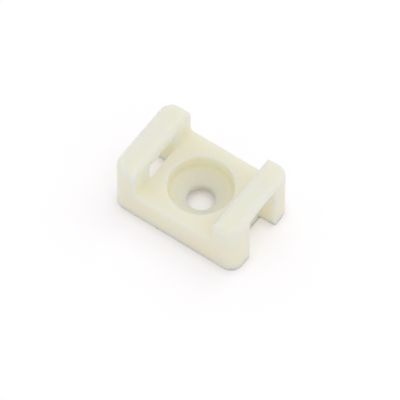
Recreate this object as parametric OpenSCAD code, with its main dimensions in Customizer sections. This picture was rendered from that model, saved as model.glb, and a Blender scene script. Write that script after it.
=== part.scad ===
// Saddle-type screw mount for cable ties, moulded in one piece of nylon.
// Two end towers stand on a rectangular block, and a tie tunnel runs along X
// through each of them, over the deck and over the head of the fixing screw.
// Frame: millimetres, X along the length, Z up from the mounting surface,
// origin at the middle of the underside.

/* [Block] */
// Overall length, along the run of the tie
body_len = 22; // [20:0.5:30]
// Overall width, across the tie
body_w = 14.4; // [13:0.1:20]
// Overall height, from the mounting surface to the tower tops
body_h = 10.2; // [9.6:0.1:13]
// Radius of the four upright outer corners
corner_r = 2.1; // [1:0.1:3]
// Radius of the outer top edges
edge_r = 0.8; // [0.3:0.1:0.9]

/* [Cradle] */
// Thickness of each end tower, along X
tower_t = 4.2; // [3.5:0.1:5]
// Height of the deck between the towers
deck_h = 5.4; // [4.5:0.1:5.8]
// Radius of the towers' inner top edges, which the bundle leans on
crest_r = 1.2; // [0.4:0.1:1.6]
// Radius of the coves where the deck meets the towers
cove_r = 0.6; // [0.2:0.1:1]

/* [Tie tunnels] */
// Width of the widest tie that the mount takes
tie_w = 4.8; // [3.6:0.1:5.2]
// Clearance beside the tie, on each side
tie_gap = 0.8; // [0.3:0.1:1]
// Thickness of the bridge over the tunnel, at the cradle side
bridge_t = 1.9; // [1.4:0.1:2.2]
// Thickness of the bridge at its outer lip
lip_t = 0.7; // [0.5:0.1:1.2]
// Run of the ramp that lifts the tie from the floor to the deck
ramp_run = 1.6; // [0:0.1:1.8]

/* [Screw hole] */
// Diameter of the screw hole
bore_d = 4.3; // [3.2:0.1:5]
// Diameter of the head recess at the deck
recess_d = 10; // [9:0.1:11]
// Diameter of the recess at the foot of its wall
foot_d = 9.6; // [8:0.1:10]
// Depth of the recess's wall, from the deck to the rim of the dished seat
wall_depth = 2; // [1:0.1:2]
// Height of the middle of the seat, where the screw hole opens into it
seat_h = 2; // [1.6:0.1:2.4]
// Depth of the round relief under the seat
relief_h = 0.9; // [0.3:0.1:1]
// Diameter of the relief in the underside
relief_d = 8; // [6:0.1:9]

/* [Hidden] */

// Circles that carry a fit or a bend
$fn = 96;
// Circles inside the hull of the block
hull_fn = 40;
// Cuts run past the faces that they open by this much
over = 1;

cradle_len = body_len - 2 * tower_t;
foot_z = deck_h - wall_depth;
slot_w = tie_w + 2 * tie_gap;
roof_z = body_h - bridge_t;
// The tunnel roof is an arc, level at the cradle and rising by bell_rise at the mouth
bell_rise = bridge_t - lip_t;
bell_r = (pow(tower_t, 2) + pow(bell_rise, 2)) / (2 * bell_rise);

// One upright corner with its rounded top edge
module corner_post() {
    rotate_extrude($fn = hull_fn)
        difference() {
            square([corner_r, body_h]);
            translate([corner_r - edge_r, body_h - edge_r])
                difference() {
                    square(edge_r + over);
                    circle(edge_r, $fn = hull_fn);
                }
        }
}

// The whole block before anything is cut from it
module rounded_block() {
    hull()
        for (sx = [-1, 1], sy = [-1, 1])
            translate([sx * (body_len / 2 - corner_r), sy * (body_w / 2 - corner_r), 0])
                corner_post();
}

// Half of the cradle's outline in the XZ plane, from the middle to one tower
module half_cradle_outline() {
    half = cradle_len / 2;
    translate([-over, deck_h])
        square([half - cove_r + over, body_h]);
    translate([-over, deck_h + cove_r])
        square([half + over, body_h]);
    translate([half - cove_r, deck_h + cove_r])
        circle(cove_r);
    translate([half, body_h - crest_r])
        difference() {
            square([crest_r, crest_r + over]);
            translate([crest_r, 0])
                circle(crest_r);
        }
}

// The open space between the towers, above the deck
module cradle() {
    rotate([90, 0, 0])
        linear_extrude(body_w + 2 * over, center = true)
            for (side = [0, 1])
                mirror([side, 0])
                    half_cradle_outline();
}

// Outline of a tie tunnel in the XZ plane: ramp, bell-mouthed roof and open floor
module tunnel_outline() {
    inner = cradle_len / 2;
    outer = body_len / 2 + over;
    difference() {
        polygon([
            [inner - cove_r, deck_h],
            [inner, deck_h],
            [inner + ramp_run, 0],
            [inner + ramp_run, -over],
            [outer, -over],
            [outer, body_h],
            [inner - cove_r, body_h]
        ]);
        translate([inner, roof_z + bell_r])
            circle(bell_r, $fn = 4 * $fn);
        translate([inner - over, roof_z])
            square([over, body_h]);
    }
}

// Both tie tunnels
module tie_tunnels() {
    for (side = [0, 1])
        mirror([side, 0, 0])
            rotate([90, 0, 0])
                linear_extrude(slot_w, center = true)
                    tunnel_outline();
}

// Screw hole, dished head recess and relief in the underside, about the Z axis
module screw_recess() {
    translate([0, 0, -over])
        cylinder(d = bore_d, h = seat_h + over);
    translate([0, 0, seat_h])
        cylinder(d1 = bore_d, d2 = foot_d, h = foot_z - seat_h);
    translate([0, 0, foot_z])
        cylinder(d1 = foot_d, d2 = recess_d, h = wall_depth);
    translate([0, 0, deck_h])
        cylinder(d = recess_d, h = body_h);
    translate([0, 0, -over])
        cylinder(d = relief_d, h = relief_h + over);
}

module mount_body() {
    color("#ece8cf")
        difference() {
            rounded_block();
            cradle();
            tie_tunnels();
            screw_recess();
        }
}

mount_body();
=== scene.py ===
"""Saddle mount for cable ties, moulded in one piece of natural nylon, on a white table.

Lengths are millimetres while the pieces are modelled. Each mesh is brought to
metres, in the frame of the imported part, as the last step of its making.
"""

import logging
import math
from dataclasses import dataclass, field
from enum import Enum
from typing import Callable, Iterable

import bmesh
import bpy
import numpy as np
from mathutils import Matrix, Vector
from mathutils.bvhtree import BVHTree


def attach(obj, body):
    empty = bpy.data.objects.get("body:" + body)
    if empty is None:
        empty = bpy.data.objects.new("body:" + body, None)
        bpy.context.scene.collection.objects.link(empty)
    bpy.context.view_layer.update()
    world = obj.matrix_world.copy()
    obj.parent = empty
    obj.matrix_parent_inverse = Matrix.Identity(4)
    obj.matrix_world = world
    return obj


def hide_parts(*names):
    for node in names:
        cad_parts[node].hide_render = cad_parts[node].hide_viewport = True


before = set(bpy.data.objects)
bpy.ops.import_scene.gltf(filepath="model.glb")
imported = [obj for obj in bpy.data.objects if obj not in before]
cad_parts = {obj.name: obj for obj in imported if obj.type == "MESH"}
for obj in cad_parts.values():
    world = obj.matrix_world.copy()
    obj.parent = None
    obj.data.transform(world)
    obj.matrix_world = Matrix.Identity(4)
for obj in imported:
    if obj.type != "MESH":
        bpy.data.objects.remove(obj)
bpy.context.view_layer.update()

MM = 0.001
WALL_DEPTH = "wall_depth"
NOISE_ROUGHNESS = 0.55
RAY_START = 0.002
RAY_LEAN = 0.7

logging.basicConfig(level=logging.INFO, format="%(levelname)s %(name)s: %(message)s")
log = logging.getLogger("saddle_mount")


class Axis(Enum):
    """The axes that a body is mirrored along or turned about."""

    X = Vector((1.0, 0.0, 0.0))
    Z = Vector((0.0, 0.0, 1.0))


def on_line(edge: bmesh.types.BMEdge, a: Vector, b: Vector, tol: float = 1e-4) -> bool:
    """Tells whether an edge lies on the endless line through two points.

    Args:
        edge: The edge.
        a: One point of the line.
        b: Another point of the line.
        tol: How far from the line the edge's ends may be.

    Returns:
        True if both ends lie on the line.
    """
    way = (b - a).normalized()
    return all(((v.co - a) - way * (v.co - a).dot(way)).length < tol for v in edge.verts)


def round_edges(
    bm: bmesh.types.BMesh,
    chosen: Callable[[bmesh.types.BMEdge], bool],
    radius: float,
    segments: int,
) -> None:
    """Rounds the edges that a test picks.

    Args:
        bm: The mesh.
        chosen: The test.
        radius: Radius of the rounding.
        segments: Steps of the rounding.
    """
    edges = [e for e in bm.edges if chosen(e)]
    bmesh.ops.bevel(
        bm,
        geom=edges,
        offset=radius,
        offset_type="OFFSET",
        affect="EDGES",
        segments=segments,
        profile=0.5,
        material=-1,
        clamp_overlap=True,
    )


def outline_prism(points: Iterable[tuple[float, float]], half_width: float) -> bmesh.types.BMesh:
    """Makes a prism from an outline in the XZ plane.

    Args:
        points: The outline's corners, as X and Z.
        half_width: How far the prism reaches to each side along Y.

    Returns:
        The closed prism.
    """
    bm = bmesh.new()
    verts = [bm.verts.new((x, -half_width, z)) for x, z in points]
    face = bm.faces.new(verts)
    grown = bmesh.ops.extrude_face_region(bm, geom=[face])["geom"]
    moved = [g for g in grown if isinstance(g, bmesh.types.BMVert)]
    bmesh.ops.translate(bm, verts=moved, vec=(0.0, 2 * half_width, 0.0))
    bmesh.ops.recalc_face_normals(bm, faces=bm.faces)
    return bm


def lathe(points: Iterable[tuple[float, float]], steps: int) -> bmesh.types.BMesh:
    """Turns an outline about the Z axis into a closed body.

    Args:
        points: The outline's corners, as radius and Z, from one end of the axis to the other.
        steps: Steps of the turn.

    Returns:
        The closed body.
    """
    bm = bmesh.new()
    verts = [bm.verts.new((r, 0.0, z)) for r, z in points]
    edges = [bm.edges.new(pair) for pair in zip(verts, verts[1:])]
    bmesh.ops.spin(
        bm,
        geom=verts + edges,
        cent=(0.0, 0.0, 0.0),
        axis=Axis.Z.value,
        angle=math.tau,
        steps=steps,
        use_merge=True,
        use_duplicate=False,
    )
    bmesh.ops.remove_doubles(bm, verts=bm.verts, dist=1e-5)
    bmesh.ops.recalc_face_normals(bm, faces=bm.faces)
    return bm


def as_object(bm: bmesh.types.BMesh, name: str) -> bpy.types.Object:
    """Puts a mesh into the scene as an object at the origin, and frees the working copy.

    Args:
        bm: The mesh.
        name: The object's name.

    Returns:
        The object.
    """
    mesh = bpy.data.meshes.new(name)
    bm.to_mesh(mesh)
    bm.free()
    obj = bpy.data.objects.new(name, mesh)
    bpy.context.scene.collection.objects.link(obj)
    return obj


def settle(obj: bpy.types.Object) -> None:
    """Replaces an object's mesh by what its modifiers make of it, and drops the modifiers."""
    graph = bpy.context.evaluated_depsgraph_get()
    graph.update()
    made = bpy.data.meshes.new_from_object(obj.evaluated_get(graph))
    made.name = obj.name
    old = obj.data
    obj.modifiers.clear()
    obj.data = made
    bpy.data.meshes.remove(old)


def cut_away(obj: bpy.types.Object, tool: bpy.types.Object) -> None:
    """Cuts a tool body out of an object, and removes the tool body.

    Args:
        obj: The object to cut.
        tool: The tool body.
    """
    boolean = obj.modifiers.new(tool.name, "BOOLEAN")
    boolean.operation = "DIFFERENCE"
    boolean.solver = "EXACT"
    boolean.object = tool
    settle(obj)
    bpy.data.objects.remove(tool)


def new_group(name: str, inputs: dict[str, float], outputs: Iterable[str]) -> bpy.types.NodeTree:
    """Starts a shader node group with plain number sockets.

    Args:
        name: The group's name.
        inputs: Input names, with their first values.
        outputs: Output names.

    Returns:
        The group, with its input and output nodes made.
    """
    group = bpy.data.node_groups.new(name, "ShaderNodeTree")
    for label, value in inputs.items():
        socket = group.interface.new_socket(label, in_out="INPUT", socket_type="NodeSocketFloat")
        socket.default_value = value
    for label in outputs:
        group.interface.new_socket(label, in_out="OUTPUT", socket_type="NodeSocketFloat")
    group.nodes.new("NodeGroupInput")
    group.nodes.new("NodeGroupOutput")
    return group


def moulded_skin() -> bpy.types.NodeTree:
    """Makes the group for a spark-finished mould surface: fine grain over slow flow clouds.

    Returns:
        The group. Grain is a height, Clouds and Gloss run from 0 to 1.
    """
    group = new_group(
        "moulded_skin",
        {"Grain Scale": 5000.0, "Cloud Scale": 260.0, "Detail": 3.0},
        ("Grain", "Clouds", "Gloss"),
    )
    nodes, links = group.nodes, group.links
    given, made = nodes["Group Input"], nodes["Group Output"]
    place = nodes.new("ShaderNodeTexCoord")
    scales = {"Grain": "Grain Scale", "Clouds": "Cloud Scale", "Gloss": "Grain Scale"}
    for label, scale in scales.items():
        noise = nodes.new("ShaderNodeTexNoise")
        noise.label = label
        noise.inputs["Roughness"].default_value = NOISE_ROUGHNESS
        links.new(place.outputs["Object"], noise.inputs["Vector"])
        links.new(given.outputs[scale], noise.inputs["Scale"])
        links.new(given.outputs["Detail"], noise.inputs["Detail"])
        links.new(noise.outputs["Fac"], made.inputs[label])
    return group


def mark_wall_depth(mesh: bpy.types.Mesh, full: float, blend_steps: int) -> None:
    """Stores at each vertex how much material lies behind it, from 0 to 1.

    Args:
        mesh: A closed mesh, in metres.
        full: The depth that counts as 1, in metres.
        blend_steps: How often each value is blended with those of its neighbours.
    """
    bm = bmesh.new()
    bm.from_mesh(mesh)
    tree = BVHTree.FromBMesh(bm)
    start = full * RAY_START
    depth = np.zeros(len(bm.verts))
    for vert in bm.verts:
        inward = -vert.normal
        side = inward.orthogonal().normalized()
        other = inward.cross(side)
        origin = vert.co + inward * start
        ways = [inward, *((inward + turn * RAY_LEAN).normalized() for turn in (side, -side, other, -other))]
        found = [tree.ray_cast(origin, way, full)[3] or full for way in ways]
        depth[vert.index] = sum(found) / (len(found) * full)
    ends = np.array([[v.index for v in e.verts] for e in bm.edges])
    bm.free()
    meets = np.bincount(ends.ravel(), minlength=len(depth))
    for _ in range(blend_steps):
        near = np.bincount(ends[:, 0], depth[ends[:, 1]], len(depth))
        near += np.bincount(ends[:, 1], depth[ends[:, 0]], len(depth))
        depth = 0.5 * depth + 0.5 * near / meets
    attribute = mesh.attributes.new(WALL_DEPTH, "FLOAT", "POINT")
    attribute.data.foreach_set("value", depth.astype(np.float32))


@dataclass(frozen=True)
class NylonFinish:
    """Uncoloured nylon as it comes from the mould: milky, faintly yellow and satin.

    Thin walls look pale and thick sections yellow and darker: partly the resin's own
    yellow, partly painted shade in the deep and low parts. The wall_depth attribute
    of the piece says which is which. The yellow also fades upwards, as painted light
    that makes the towers' tops paler, where light reaches them from every side.
    """

    name: str = "natural_nylon"
    # The pale colour also serves as painted light on the tops, the deep yellow as painted shade low down
    # and in deep sections.
    thin_and_lit_colour: tuple[float, float, float] = (0.87, 0.87, 0.77)
    thick_and_shaded_colour: tuple[float, float, float] = (0.93, 0.86, 0.67)
    fade_from_mm: float = 2.0
    fade_to_mm: float = 9.5
    top_share: float = 0.15
    cloud_tint: tuple[float, float, float] = (0.80, 0.76, 0.62)
    cloud_share: float = 0.06
    cloud_span: tuple[float, float] = (0.4, 0.75)
    roughness: tuple[float, float] = (0.36, 0.5)
    ior: float = 1.53
    scatter_reach: tuple[float, float, float] = (1.0, 0.8, 0.5)
    scatter_mm: float = 4.0
    grain_height_mm: float = 0.006
    grain_strength: float = 0.5

    def build(self) -> bpy.types.Material:
        """Makes the material.

        Returns:
            The material, ready to be given to a piece that has the wall_depth attribute.
        """
        material = bpy.data.materials.new(self.name)
        material.use_nodes = True
        nodes, links = material.node_tree.nodes, material.node_tree.links
        shader = nodes["Principled BSDF"]
        skin = nodes.new("ShaderNodeGroup")
        skin.node_tree = moulded_skin()

        depth = nodes.new("ShaderNodeAttribute")
        depth.attribute_name = WALL_DEPTH
        # Painted shade: the mix turns darker and yellower in deep and low parts, partly the resin's own
        # yellow.
        colour_with_painted_shade = nodes.new("ShaderNodeMix")
        colour_with_painted_shade.data_type = "RGBA"
        colour_with_painted_shade.inputs["A"].default_value = (*self.thin_and_lit_colour, 1.0)
        colour_with_painted_shade.inputs["B"].default_value = (*self.thick_and_shaded_colour, 1.0)
        place = nodes.new("ShaderNodeTexCoord")
        parts = nodes.new("ShaderNodeSeparateXYZ")
        links.new(place.outputs["Object"], parts.inputs["Vector"])
        # Painted light: the yellow share falls with height, so the tops are paler and the low parts darker.
        fade = nodes.new("ShaderNodeMapRange")
        fade.inputs["From Min"].default_value = self.fade_from_mm * MM
        fade.inputs["From Max"].default_value = self.fade_to_mm * MM
        fade.inputs["To Min"].default_value = 1.0
        fade.inputs["To Max"].default_value = self.top_share
        links.new(parts.outputs["Z"], fade.inputs["Value"])
        yellow = nodes.new("ShaderNodeMath")
        yellow.operation = "MULTIPLY"
        links.new(depth.outputs["Fac"], yellow.inputs[0])
        links.new(fade.outputs["Result"], yellow.inputs[1])
        links.new(yellow.outputs["Value"], colour_with_painted_shade.inputs["Factor"])

        cloud = nodes.new("ShaderNodeMapRange")
        cloud.inputs["From Min"].default_value, cloud.inputs["From Max"].default_value = self.cloud_span
        cloud.inputs["To Max"].default_value = self.cloud_share
        links.new(skin.outputs["Clouds"], cloud.inputs["Value"])
        clouded = nodes.new("ShaderNodeMix")
        clouded.data_type = "RGBA"
        clouded.inputs["B"].default_value = (*self.cloud_tint, 1.0)
        links.new(cloud.outputs["Result"], clouded.inputs["Factor"])
        links.new(colour_with_painted_shade.outputs["Result"], clouded.inputs["A"])
        links.new(clouded.outputs["Result"], shader.inputs["Base Color"])

        gloss = nodes.new("ShaderNodeMapRange")
        gloss.inputs["To Min"].default_value, gloss.inputs["To Max"].default_value = self.roughness
        links.new(skin.outputs["Gloss"], gloss.inputs["Value"])
        links.new(gloss.outputs["Result"], shader.inputs["Roughness"])

        bump = nodes.new("ShaderNodeBump")
        bump.inputs["Distance"].default_value = self.grain_height_mm * MM
        bump.inputs["Strength"].default_value = self.grain_strength
        links.new(skin.outputs["Grain"], bump.inputs["Height"])
        links.new(bump.outputs["Normal"], shader.inputs["Normal"])

        shader.inputs["IOR"].default_value = self.ior
        shader.inputs["Subsurface Weight"].default_value = 1.0
        shader.inputs["Subsurface Radius"].default_value = self.scatter_reach
        shader.inputs["Subsurface Scale"].default_value = self.scatter_mm * MM
        return material


@dataclass
class MountBody:
    """The moulded body: a block with two towers, a tie tunnel through each, and a screw recess."""

    length: float = 22.0
    width: float = 14.4
    height: float = 10.2
    corner_r: float = 2.1
    top_edge_r: float = 0.8
    tower: float = 4.2
    deck: float = 5.4
    crest_r: float = 1.2
    cove_r: float = 0.6
    slot_half: float = 3.2
    roof: float = 8.3
    lip: float = 0.7
    ramp_run: float = 1.6
    bore_r: float = 2.15
    recess_r: float = 5.0
    foot_r: float = 4.8
    foot: float = 3.4
    seat: float = 2.0
    relief_r: float = 4.0
    relief: float = 0.9
    spare: float = 2.0
    mouth_overrun: float = 0.6
    brim_gap: float = 0.01
    corner_steps: int = 12
    edge_steps: int = 8
    crest_steps: int = 10
    cove_steps: int = 8
    roof_steps: int = 16
    turn_steps: int = 96
    voxel: float = 0.15
    soften_steps: int = 6
    soften_share: float = 0.5
    thick: float = 9.0
    depth_blend: int = 20
    finish: NylonFinish = field(default_factory=NylonFinish)

    @property
    def inner(self) -> float:
        """Distance from the middle to the towers' inner faces."""
        return self.length / 2 - self.tower

    def block(self) -> bpy.types.Object:
        """Makes the uncut block with its rounded corners and top edges.

        Returns:
            The block.
        """
        bm = bmesh.new()
        bmesh.ops.create_cube(bm, size=1.0)
        bmesh.ops.scale(bm, vec=(self.length, self.width, self.height), verts=bm.verts)
        bmesh.ops.translate(bm, vec=(0, 0, self.height / 2), verts=bm.verts)
        round_edges(
            bm,
            lambda e: abs(e.verts[0].co.z - e.verts[1].co.z) > self.height / 2,
            self.corner_r,
            self.corner_steps,
        )
        top = self.height - 1e-4
        round_edges(
            bm,
            lambda e: all(v.co.z > top for v in e.verts) and len(e.link_faces) == 2
            and any(abs(f.normal.z) < 0.5 for f in e.link_faces),
            self.top_edge_r,
            self.edge_steps,
        )
        return as_object(bm, "block")

    def cradle_tool(self) -> bpy.types.Object:
        """Makes the tool that opens the cradle, with its coves and the flare over the crests."""
        far, up = self.length / 2 + self.spare, self.height + self.spare
        brim = self.height + self.brim_gap
        bm = outline_prism(
            [
                (-self.inner, self.deck),
                (self.inner, self.deck),
                (self.inner, brim),
                (far, brim),
                (far, up),
                (-far, up),
                (-far, brim),
                (-self.inner, brim),
            ],
            self.width / 2 + self.spare,
        )
        for side in (-1, 1):
            x = side * self.inner
            crest = (brim, self.crest_r, self.crest_steps)
            cove = (self.deck, self.cove_r, self.cove_steps)
            for z, radius, steps in (crest, cove):
                a, b = Vector((x, -1.0, z)), Vector((x, 1.0, z))
                round_edges(bm, lambda e: on_line(e, a, b), radius, steps)
        return as_object(bm, "cradle_tool")

    def tunnel_tool(self, side: int) -> bpy.types.Object:
        """Makes the tool for one tie tunnel, with its ramp and its belled roof.

        Args:
            side: 1 for the tower on +X, -1 for the other.

        Returns:
            The tool body.
        """
        rise = self.height - self.roof - self.lip
        bell_r = (self.tower**2 + rise**2) / (2 * rise)
        reach = self.length / 2 + self.mouth_overrun
        outline = [
            (self.inner - self.cove_r, self.deck),
            (self.inner, self.deck),
            (self.inner + self.ramp_run, 0.0),
            (self.inner + self.ramp_run, -self.spare),
            (reach + self.spare, -self.spare),
            (reach + self.spare, self.height + self.spare),
            (reach, self.height + self.spare),
        ]
        for i in range(self.roof_steps + 1):
            run = (self.tower + self.mouth_overrun) * (1 - i / self.roof_steps)
            outline.append((self.inner + run, self.roof + bell_r - math.sqrt(bell_r**2 - run**2)))
        outline.append((self.inner - self.cove_r, self.roof))
        bm = outline_prism(outline, self.slot_half)
        if side < 0:
            bmesh.ops.transform(bm, matrix=Matrix.Scale(-1, 4, Axis.X.value), verts=bm.verts)
            bmesh.ops.recalc_face_normals(bm, faces=bm.faces)
        return as_object(bm, "tunnel_tool")

    def screw_tool(self) -> bpy.types.Object:
        """Makes the turned tool for the screw hole, the head recess and the relief below."""
        bm = lathe(
            [
                (0.0, -self.spare),
                (self.relief_r, -self.spare),
                (self.relief_r, self.relief),
                (self.bore_r, self.relief),
                (self.bore_r, self.seat),
                (self.foot_r, self.foot),
                (self.recess_r, self.deck),
                (self.recess_r, self.height),
                (0.0, self.height),
            ],
            self.turn_steps,
        )
        return as_object(bm, "screw_tool")

    def soften(self, obj: bpy.types.Object) -> None:
        """Gives every edge the small radius that a moulded part has, and brings it to metres.

        Args:
            obj: The cut body.
        """
        remesh = obj.modifiers.new("even_grid", "REMESH")
        remesh.mode = "VOXEL"
        remesh.voxel_size = self.voxel
        smooth = obj.modifiers.new("edge_relief", "SMOOTH")
        smooth.factor = self.soften_share
        smooth.iterations = self.soften_steps
        settle(obj)
        bm = bmesh.new()
        bm.from_mesh(obj.data)
        bmesh.ops.scale(bm, vec=(MM, MM, MM), verts=bm.verts)
        for face in bm.faces:
            face.smooth = True
        bm.to_mesh(obj.data)
        bm.free()

    def build(self) -> bpy.types.Object:
        """Models and dresses the body.

        Returns:
            The finished piece.
        """
        body = self.block()
        cut_away(body, self.cradle_tool())
        for side in (-1, 1):
            cut_away(body, self.tunnel_tool(side))
        cut_away(body, self.screw_tool())
        body.name = "moulded_body"
        self.soften(body)
        # The wall depth sets the nylon's yellow: partly the resin's own tint, partly painted shade in deep
        # and low parts.
        mark_wall_depth(body.data, self.thick * MM, self.depth_blend)
        body.data.materials.clear()
        body.data.materials.append(self.finish.build())
        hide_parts("mount_body")
        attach(body, "root")
        return body


@dataclass
class Studio:
    """White table, soft light and camera."""

    table_half: float = 3.0
    lens: float = 360.0
    sensor: float = 36.0
    clip: tuple[float, float] = (0.01, 20.0)
    azimuth: float = 35.26
    elevation: float = 57.58
    roll: float = -0.15
    distance: float = 0.5854
    target: tuple[float, float, float] = (0.00083, -0.00147, 0.0040)
    sky_strength: float = 0.78
    table_colour: tuple[float, float, float] = (0.93, 0.92, 0.94)
    table_roughness: float = 0.9
    table_lift: float = 0.22
    lift_colour: tuple[float, float, float] = (1.0, 0.98, 1.0)
    # Reach of the painted contact shadow round the mount's foot.
    painted_shadow_reach: float = 0.0013
    key_place: tuple[float, float, float] = (0.2, 0.5, 0.8)
    key_size: float = 0.7
    key_power: float = 1.0
    bounces: int = 16

    def table(self) -> bpy.types.Object:
        """Makes the table top, with a painted contact shadow round the mount's foot.

        Returns:
            The table.
        """
        bm = bmesh.new()
        bmesh.ops.create_grid(bm, x_segments=2, y_segments=2, size=self.table_half)
        table = as_object(bm, "table")
        material = bpy.data.materials.new("white_table")
        material.use_nodes = True
        shader = material.node_tree.nodes["Principled BSDF"]
        shader.inputs["Base Color"].default_value = (*self.table_colour, 1.0)
        shader.inputs["Roughness"].default_value = self.table_roughness
        shader.inputs["Specular IOR Level"].default_value = 0.0
        nodes, links = material.node_tree.nodes, material.node_tree.links
        # Painted shadow: ambient occlusion takes the lift away near the mount, darkening the table round
        # its foot.
        contact = nodes.new("ShaderNodeAmbientOcclusion")
        contact.inputs["Distance"].default_value = self.painted_shadow_reach
        path = nodes.new("ShaderNodeLightPath")
        mirrored = nodes.new("ShaderNodeMath")
        mirrored.operation = "MAXIMUM"
        links.new(path.outputs["Is Glossy Ray"], mirrored.inputs[0])
        links.new(path.outputs["Is Transmission Ray"], mirrored.inputs[1])
        seen = nodes.new("ShaderNodeMath")
        seen.operation = "MAXIMUM"
        links.new(path.outputs["Is Camera Ray"], seen.inputs[0])
        links.new(mirrored.outputs["Value"], seen.inputs[1])
        open_share = nodes.new("ShaderNodeMath")
        open_share.operation = "MULTIPLY"
        links.new(seen.outputs["Value"], open_share.inputs[0])
        links.new(contact.outputs["AO"], open_share.inputs[1])
        lift = nodes.new("ShaderNodeMath")
        lift.operation = "MULTIPLY"
        lift.inputs[1].default_value = self.table_lift
        links.new(open_share.outputs["Value"], lift.inputs[0])
        links.new(lift.outputs["Value"], shader.inputs["Emission Strength"])
        shader.inputs["Emission Color"].default_value = (*self.lift_colour, 1.0)
        table.data.materials.append(material)
        return table

    def sky(self) -> None:
        """Gives the world an even light."""
        world = bpy.data.worlds.new("studio")
        world.use_nodes = True
        background = world.node_tree.nodes["Background"]
        background.inputs["Color"].default_value = (1.0, 1.0, 1.0, 1.0)
        background.inputs["Strength"].default_value = self.sky_strength
        bpy.context.scene.world = world

    def softbox(self, name: str, place: Vector, size: float, power: float) -> None:
        """Hangs a square softbox that faces the mount.

        Args:
            name: The lamp's name.
            place: Where it hangs, in metres.
            size: The length of its side, in metres.
            power: Its power, in watts.
        """
        light = bpy.data.lights.new(name, "AREA")
        light.shape = "SQUARE"
        light.size = size
        light.energy = power
        obj = bpy.data.objects.new(name, light)
        obj.location = place
        obj.rotation_mode = "QUATERNION"
        obj.rotation_quaternion = (-place).to_track_quat("-Z", "Y")
        bpy.context.scene.collection.objects.link(obj)

    def camera(self) -> None:
        """Places the camera on its stand."""
        data = bpy.data.cameras.new("camera")
        data.lens = self.lens
        data.sensor_width = self.sensor
        data.clip_start, data.clip_end = self.clip
        camera = bpy.data.objects.new("camera", data)
        a, e = math.radians(self.azimuth), math.radians(self.elevation)
        back = Vector((math.sin(a) * math.cos(e), -math.cos(a) * math.cos(e), math.sin(e)))
        camera.location = Vector(self.target) + back * self.distance
        aim = (-back).to_track_quat("-Z", "Y").to_matrix()
        turn = Matrix.Rotation(math.radians(self.roll), 3, "Z")
        camera.rotation_euler = (aim @ turn).to_euler()
        bpy.context.scene.collection.objects.link(camera)
        bpy.context.scene.camera = camera

    def build(self) -> None:
        """Sets up everything round the mount."""
        self.table()
        self.sky()
        self.softbox("key_softbox", Vector(self.key_place), self.key_size, self.key_power)
        self.camera()
        cycles = bpy.context.scene.cycles
        cycles.max_bounces = self.bounces
        cycles.diffuse_bounces = self.bounces
        bpy.context.scene.view_settings.view_transform = "Standard"


def main() -> None:
    """Builds the mount and the studio, in order."""
    body = MountBody().build()
    log.info("%s: %d faces", body.name, len(body.data.polygons))
    Studio().build()
    log.info("studio ready")


if __name__ == "__main__":
    main()
